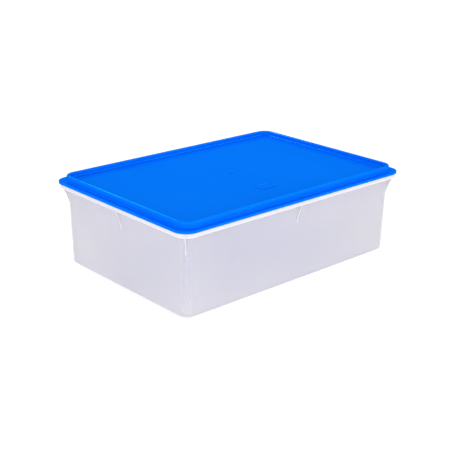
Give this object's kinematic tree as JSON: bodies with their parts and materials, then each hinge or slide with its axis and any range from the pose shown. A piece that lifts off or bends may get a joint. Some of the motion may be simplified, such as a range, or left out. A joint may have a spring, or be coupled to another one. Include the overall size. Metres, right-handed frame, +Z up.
{
  "type": "rectangular storage container",
  "caption": "Low rectangular storage box in translucent plastic with an opaque blue push-on lid, for dry food and camp supplies.",
  "frame": {"origin": "on the ground, under the middle of the tub's floor", "axes": "+X along the long side, +Y along the short side, +Z up, the way the lid lifts off"},
  "size_m": [0.4, 0.277, 0.1278],
  "materials": {
    "translucent_plastic": "natural translucent polypropylene, smooth satin, milky with a faint violet-grey tint",
    "blue_plastic": "opaque saturated blue polyethylene, satin, with a very fine moulded grain"
  },
  "bodies": {
    "tub": {"tub": "translucent_plastic"},
    "lid": {"lid": "blue_plastic"}
  },
  "joints": [
    {"name": "lid_lift", "type": "slide", "parent": "tub", "child": "lid", "axis": [0, 0, 1], "range_m": [0, 0.15]}
  ]
}
